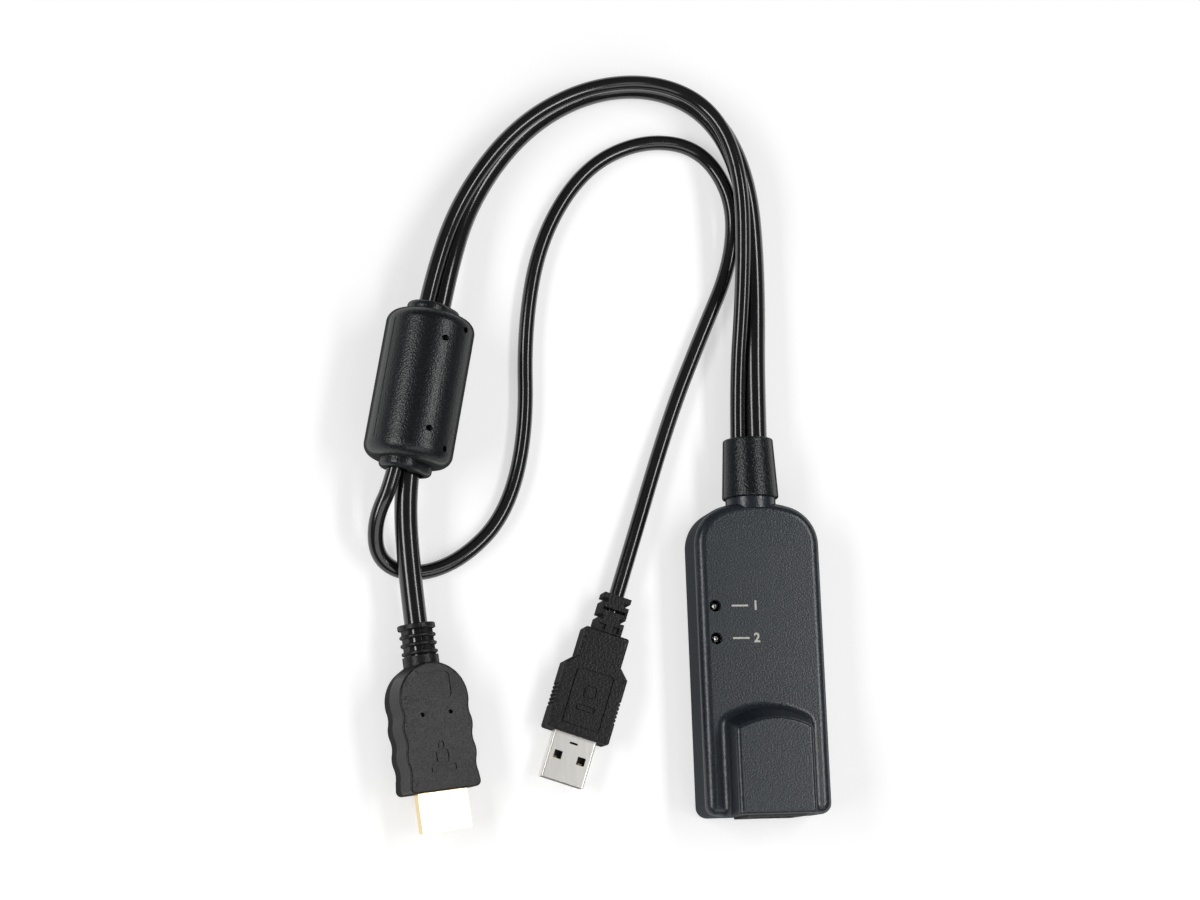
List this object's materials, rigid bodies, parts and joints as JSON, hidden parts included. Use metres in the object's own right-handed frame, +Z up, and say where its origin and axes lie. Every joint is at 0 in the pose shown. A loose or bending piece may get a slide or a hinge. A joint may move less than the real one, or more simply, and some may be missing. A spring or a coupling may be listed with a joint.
{
  "type": "kvm dongle",
  "caption": "Flat rounded housing with a hooded network jack and status lights; a boot leads two black cords through a ferrite choke to a video plug and a data plug.",
  "frame": {"origin": "Centre of the housing with its boot, on the surface it lies on.", "axes": "+Y runs along the housing from the network jack to the cords, +Z is up through the hood, +X is to the right seen from above with the jack towards the viewer."},
  "size_m": [0.1237, 0.2093, 0.0239],
  "materials": {
    "housing_plastic": "fine moulded texture, slate grey",
    "boot_rubber": "satin, faint lengthwise drawing",
    "board_laminate": "green solder mask",
    "jack_plastic": "smooth moulded",
    "contact_plate": "thin bright plating",
    "light_lens": "clear milky resin",
    "chip_plastic": "moulded epoxy",
    "header_plastic": "natural nylon",
    "screw_steel": "zinc plated",
    "choke_plastic": "fine moulded texture",
    "ferrite_ceramic": "sintered, dull",
    "cord_jacket": "smooth extruded vinyl",
    "plug_plastic": "fine moulded texture",
    "gold_plate": "bright plating",
    "nickel_plate": "nickel plating, lightly handled",
    "insulator_plastic": "smooth moulded"
  },
  "bodies": {
    "root": {"top_shell": "housing_plastic", "bottom_shell": "housing_plastic", "cord_boot": "boot_rubber", "circuit_board": "board_laminate", "network_jack": "jack_plastic", "jack_contacts": "contact_plate", "lower_status_light": "light_lens", "upper_status_light": "light_lens", "main_chip": "chip_plastic", "memory_chip": "chip_plastic", "jack_transformer": "chip_plastic", "video_cord_header": "header_plastic", "data_cord_header": "header_plastic", "cord_clamp": "header_plastic", "case_screws": "screw_steel", "ferrite_cover": "choke_plastic", "ferrite_core": "ferrite_ceramic", "video_cord": "cord_jacket", "data_cord": "cord_jacket", "video_plug_body": "plug_plastic", "video_plug_shell": "gold_plate", "video_plug_insulator": "insulator_plastic", "video_plug_contacts": "contact_plate", "data_plug_body": "plug_plastic", "data_plug_shell": "nickel_plate", "data_plug_insulator": "insulator_plastic", "data_plug_contacts": "contact_plate"}
  },
  "joints": []
}
